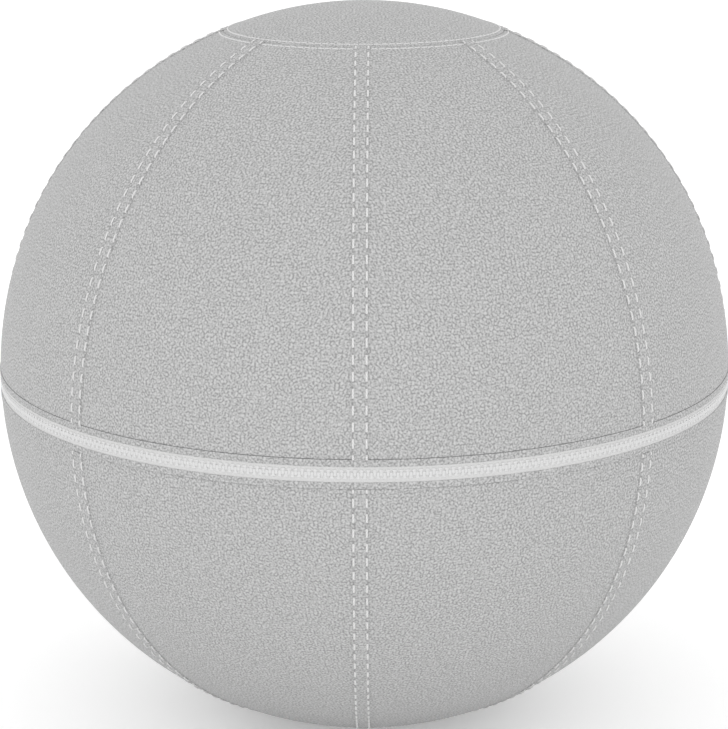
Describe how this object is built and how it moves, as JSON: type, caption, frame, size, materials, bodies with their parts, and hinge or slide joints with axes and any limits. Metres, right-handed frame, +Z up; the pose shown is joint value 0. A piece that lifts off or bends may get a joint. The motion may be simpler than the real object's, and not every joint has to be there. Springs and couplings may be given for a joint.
{
  "type": "exercise ball",
  "caption": "Upholstered exercise ball: inflated bladder in a sewn leather cover of gores and caps, opened by a zip round its equator.",
  "frame": {"origin": "middle of the flat foot, on the floor", "axes": "+Z up along the ball's axis through both caps; -Y towards the front seam; the zip's ends lie at the back, towards +Y and +X"},
  "size_m": [0.653, 0.653, 0.6461],
  "materials": {
    "leather": "pebbled, satin",
    "thread": "twisted polyester",
    "zip_tape": "woven",
    "zip_teeth": "moulded, satin",
    "zip_metal": "nickel plated",
    "guard_fabric": "woven",
    "wadding": "felted",
    "bladder_skin": "smooth, matte",
    "valve_plastic": "moulded"
  },
  "bodies": {
    "cover": {"top_cap": "leather", "bottom_cap": "leather", "upper_panel_1": "leather", "upper_panel_2": "leather", "upper_panel_3": "leather", "upper_panel_4": "leather", "upper_panel_5": "leather", "upper_panel_6": "leather", "upper_panel_7": "leather", "upper_panel_8": "leather", "lower_panel_1": "leather", "lower_panel_2": "leather", "lower_panel_3": "leather", "lower_panel_4": "leather", "lower_panel_5": "leather", "lower_panel_6": "leather", "lower_panel_7": "leather", "lower_panel_8": "leather", "upper_seam_strip_1": "leather", "upper_seam_strip_2": "leather", "upper_seam_strip_3": "leather", "upper_seam_strip_4": "leather", "upper_seam_strip_5": "leather", "upper_seam_strip_6": "leather", "upper_seam_strip_7": "leather", "upper_seam_strip_8": "leather", "lower_seam_strip_1": "leather", "lower_seam_strip_2": "leather", "lower_seam_strip_3": "leather", "lower_seam_strip_4": "leather", "lower_seam_strip_5": "leather", "lower_seam_strip_6": "leather", "lower_seam_strip_7": "leather", "lower_seam_strip_8": "leather", "upper_seam_threads": "thread", "lower_seam_threads": "thread", "top_cap_threads": "thread", "bottom_cap_threads": "thread", "upper_zip_facing": "leather", "lower_zip_facing": "leather", "upper_zip_tape": "zip_tape", "lower_zip_tape": "zip_tape", "upper_zip_teeth": "zip_teeth", "lower_zip_teeth": "zip_teeth", "zip_top_stops": "zip_metal", "zip_bottom_stop": "zip_metal", "zip_bridge": "leather", "zip_guard": "guard_fabric", "upper_padding": "wadding", "lower_padding": "wadding", "bladder": "bladder_skin", "valve_seat": "valve_plastic", "valve_plug": "valve_plastic"},
    "slider": {"slider_body": "zip_metal"},
    "tab": {"pull_tab": "zip_metal"}
  },
  "joints": [
    {"name": "slider_travel", "type": "hinge", "parent": "cover", "child": "slider", "pos_m": [0, 0, 0.32113], "axis": [0, 0, 1], "range_deg": [0, 346.5], "deforming": ["upper_zip_teeth", "lower_zip_teeth"]},
    {"name": "pull_tab_swing", "type": "hinge", "parent": "slider", "child": "tab", "pos_m": [0.09414, 0.31451, 0.32113], "axis": [0, 0, -1], "range_deg": [0, 170]}
  ]
}
